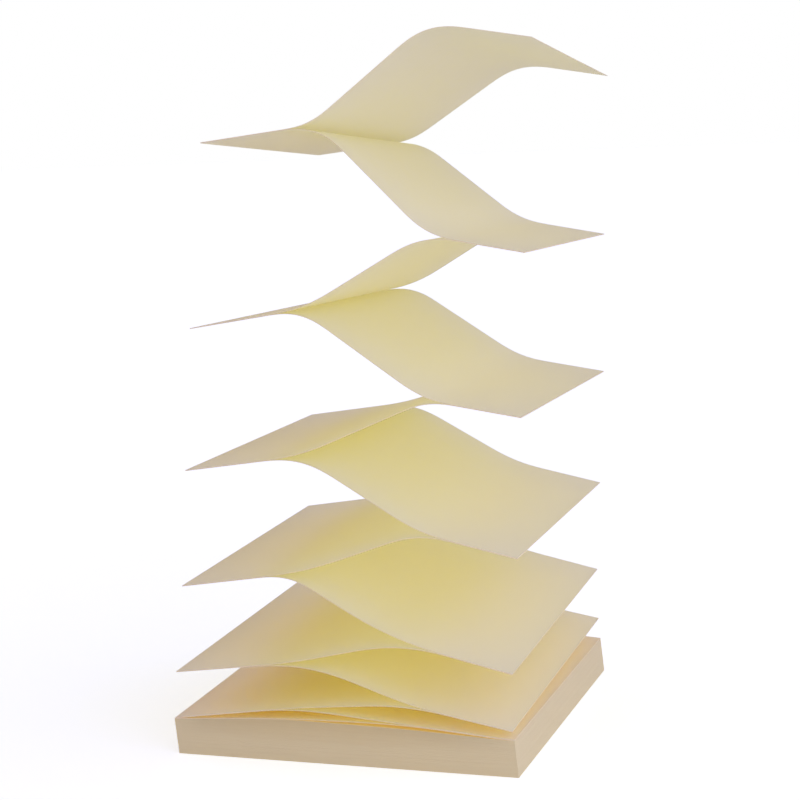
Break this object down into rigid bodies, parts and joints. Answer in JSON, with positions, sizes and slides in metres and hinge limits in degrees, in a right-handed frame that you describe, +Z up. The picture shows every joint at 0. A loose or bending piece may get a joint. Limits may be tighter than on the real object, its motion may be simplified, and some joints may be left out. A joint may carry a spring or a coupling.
{
  "type": "sticky note pad",
  "caption": "Square fan-fold pad of plain sticky notes, its upper notes pulled up into an open zigzag column over the closed block.",
  "frame": {"origin": "middle of the underside of the closed block", "axes": "+Z up the column, +X to the right as pictured, -Y towards the viewer"},
  "size_m": [0.0847, 0.076, 0.1506],
  "materials": {
    "note_paper": "uncoated pale yellow note paper, matt"
  },
  "bodies": {
    "root": {"note_block": "note_paper", "raised_note_01": "note_paper", "raised_note_02": "note_paper", "raised_note_03": "note_paper", "raised_note_04": "note_paper", "raised_note_05": "note_paper", "raised_note_06": "note_paper", "raised_note_07": "note_paper", "raised_note_08": "note_paper", "raised_note_09": "note_paper", "raised_note_10": "note_paper", "raised_note_11": "note_paper", "raised_note_12": "note_paper", "raised_note_13": "note_paper"}
  },
  "joints": []
}
